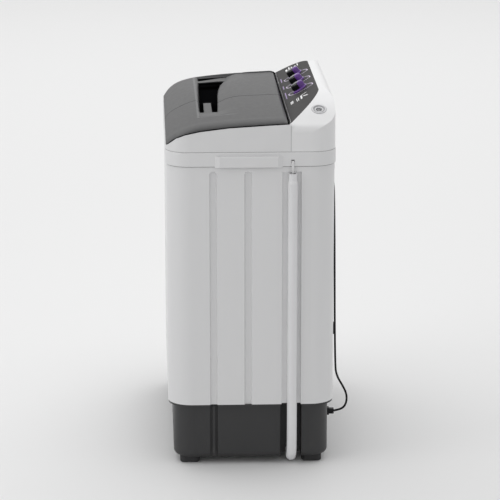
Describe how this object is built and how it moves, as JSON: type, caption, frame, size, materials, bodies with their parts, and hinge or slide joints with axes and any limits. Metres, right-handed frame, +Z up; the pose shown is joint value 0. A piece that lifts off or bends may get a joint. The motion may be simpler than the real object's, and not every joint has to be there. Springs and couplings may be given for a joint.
{
  "type": "twin tub washing machine",
  "caption": "Free-standing laundry machine with a wash tub and a spin dryer side by side, hinged lids, a sloped console with turning knobs and a drain hose.",
  "frame": {"origin": "on the floor, under the middle of the machine", "axes": "+X to the right of a person facing the front, -Y to the front, +Z up"},
  "size_m": [0.903, 0.5244, 1.048],
  "materials": {
    "white_plastic": "satin white",
    "tub_plastic": "satin",
    "base_plastic": "satin dark grey",
    "lid_plastic": "satin grey",
    "panel_plastic": "satin warm grey",
    "knob_plastic": "gloss black",
    "pulsator_plastic": "satin purple",
    "hose_plastic": "satin light grey",
    "foot_rubber": "matt black",
    "cord_rubber": "matt black",
    "steel": "brushed",
    "zinc_steel": "zinc plated",
    "cast_housing": "cast",
    "cover_plastic": "satin light grey"
  },
  "bodies": {
    "cabinet": {"base_tray": "base_plastic", "brake_bracket": "zinc_steel", "brake_cable": "cord_rubber", "cabinet_shell": "white_plastic", "capacitor": "cast_housing", "carry_grips": "white_plastic", "console_housing": "white_plastic", "control_panel": "panel_plastic", "cord_gland": "cord_rubber", "cord_hook": "white_plastic", "cover_screws": "zinc_steel", "drain_hose": "hose_plastic", "drain_selector": "tub_plastic", "drain_valve": "tub_plastic", "drive_belt": "foot_rubber", "drive_bracket": "zinc_steel", "hinge_pins": "zinc_steel", "hose_cuff": "hose_plastic", "hose_strap": "white_plastic", "inlet_troughs": "tub_plastic", "lid_switch": "base_plastic", "lint_filter": "tub_plastic", "motor_boots": "foot_rubber", "motor_mounts": "foot_rubber", "motor_plate": "zinc_steel", "outlet_pipe": "base_plastic", "overflow_cover": "tub_plastic", "power_cord": "cord_rubber", "power_plug": "cord_rubber", "rear_cover": "cover_plastic", "rubber_feet": "foot_rubber", "shaft_bellows": "foot_rubber", "spin_motor": "cast_housing", "spin_timer": "tub_plastic", "spin_tub": "tub_plastic", "top_deck": "white_plastic", "tub_drain_pipes": "foot_rubber", "wash_gearbox": "cast_housing", "wash_motor": "cast_housing", "wash_shaft_seal": "foot_rubber", "wash_timer": "tub_plastic", "wash_tub": "tub_plastic", "water_inlets": "white_plastic"},
    "wash_lid": {"wash_lid": "lid_plastic", "wash_lid_well": "base_plastic"},
    "spin_lid": {"spin_lid": "lid_plastic", "spin_lid_well": "base_plastic"},
    "wash_timer_knob": {"wash_timer_knob": "knob_plastic"},
    "drain_selector_knob": {"drain_selector_knob": "knob_plastic"},
    "spin_timer_knob": {"spin_timer_knob": "knob_plastic"},
    "pulsator": {"pulsator": "pulsator_plastic", "wash_shaft": "steel"},
    "gearbox_pulley": {"gearbox_pulley": "cast_housing"},
    "motor_pulley": {"motor_pulley": "cast_housing"},
    "spin_basket": {"balance_ring": "tub_plastic", "brake_drum": "cast_housing", "spin_basket": "steel", "spin_shaft": "steel"},
    "brake_arm": {"brake_arm": "zinc_steel"},
    "valve_plunger": {"valve_plunger": "tub_plastic"}
  },
  "joints": [
    {"name": "wash_lid_hinge", "type": "hinge", "parent": "cabinet", "child": "wash_lid", "pos_m": [-0.19, 0.088, 0.9798], "axis": [-1, 0, 0], "range_deg": [0, 100]},
    {"name": "spin_lid_hinge", "type": "hinge", "parent": "cabinet", "child": "spin_lid", "pos_m": [0.24, 0.088, 0.9798], "axis": [-1, 0, 0], "range_deg": [0, 100]},
    {"name": "wash_timer_turn", "type": "hinge", "parent": "cabinet", "child": "wash_timer_knob", "pos_m": [-0.17, 0.15632, 1.0161], "axis": [0, 0.588, -0.8089], "range_deg": [0, 300]},
    {"name": "drain_selector_turn", "type": "hinge", "parent": "cabinet", "child": "drain_selector_knob", "pos_m": [-0.05, 0.15632, 1.0161], "axis": [0, 0.588, -0.8089], "range_deg": [0, 90]},
    {"name": "spin_timer_turn", "type": "hinge", "parent": "cabinet", "child": "spin_timer_knob", "pos_m": [0.07, 0.15632, 1.0161], "axis": [0, 0.588, -0.8089], "range_deg": [0, 300]},
    {"name": "valve_lift", "type": "slide", "parent": "cabinet", "child": "valve_plunger", "axis": [0, 0, 1], "range_m": [0, 0.0121]},
    {"name": "pulsator_spin", "type": "hinge", "parent": "cabinet", "child": "pulsator", "pos_m": [-0.1975, -0.03, 0.45], "axis": [0, 0, 1], "continuous": true},
    {"name": "gearbox_pulley_spin", "type": "hinge", "parent": "cabinet", "child": "gearbox_pulley", "pos_m": [-0.1975, -0.03, 0.318], "axis": [0, 0, 1], "continuous": true},
    {"name": "motor_pulley_spin", "type": "hinge", "parent": "cabinet", "child": "motor_pulley", "pos_m": [-0.1975, 0.135, 0.318], "axis": [0, 0, 1], "continuous": true},
    {"name": "spin_basket_spin", "type": "hinge", "parent": "cabinet", "child": "spin_basket", "pos_m": [0.235, -0.06, 0.472], "axis": [0, 0, 1], "continuous": true},
    {"name": "brake_arm_swing", "type": "hinge", "parent": "cabinet", "child": "brake_arm", "pos_m": [0.166, -0.112, 0.331], "axis": [0, 0, -1], "range_deg": [0, 2.1]}
  ],
  "couplings": [
    {"joint": "valve_lift", "follows": "drain_selector_turn", "m_per_rad": 0.0076},
    {"joint": "gearbox_pulley_spin", "follows": "pulsator_spin", "ratio": 2.5},
    {"joint": "motor_pulley_spin", "follows": "pulsator_spin", "ratio": 11.316},
    {"joint": "brake_arm_swing", "follows": "spin_lid_hinge", "ratio": 0.021}
  ]
}
